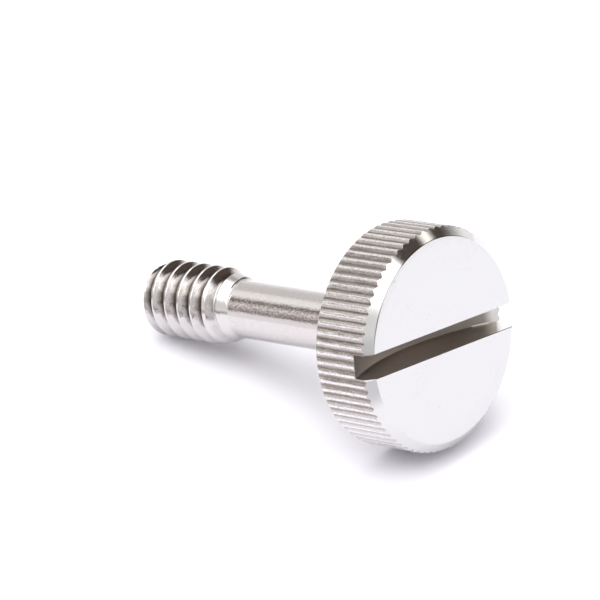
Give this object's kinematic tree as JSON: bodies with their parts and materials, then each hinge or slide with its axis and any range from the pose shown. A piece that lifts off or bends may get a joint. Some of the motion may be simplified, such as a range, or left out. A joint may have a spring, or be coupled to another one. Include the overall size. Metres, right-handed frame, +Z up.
{
  "type": "knurled captive screw",
  "caption": "Slotted screw with a large straight-knurled head, a plain reduced shank and a short coarse thread at its end, lying on its side.",
  "frame": {"origin": "centre of the bounding box in X and Y, on the surface the screw lies on", "axes": "+Z up; +X along the screw's axis seen from above, from the threaded tip towards the head; the axis itself rises towards the head"},
  "size_m": [0.0144, 0.008, 0.0082],
  "materials": {
    "steel": "bright turned stainless steel, polished chamfer"
  },
  "bodies": {
    "root": {"captive_screw": "steel"}
  },
  "joints": []
}
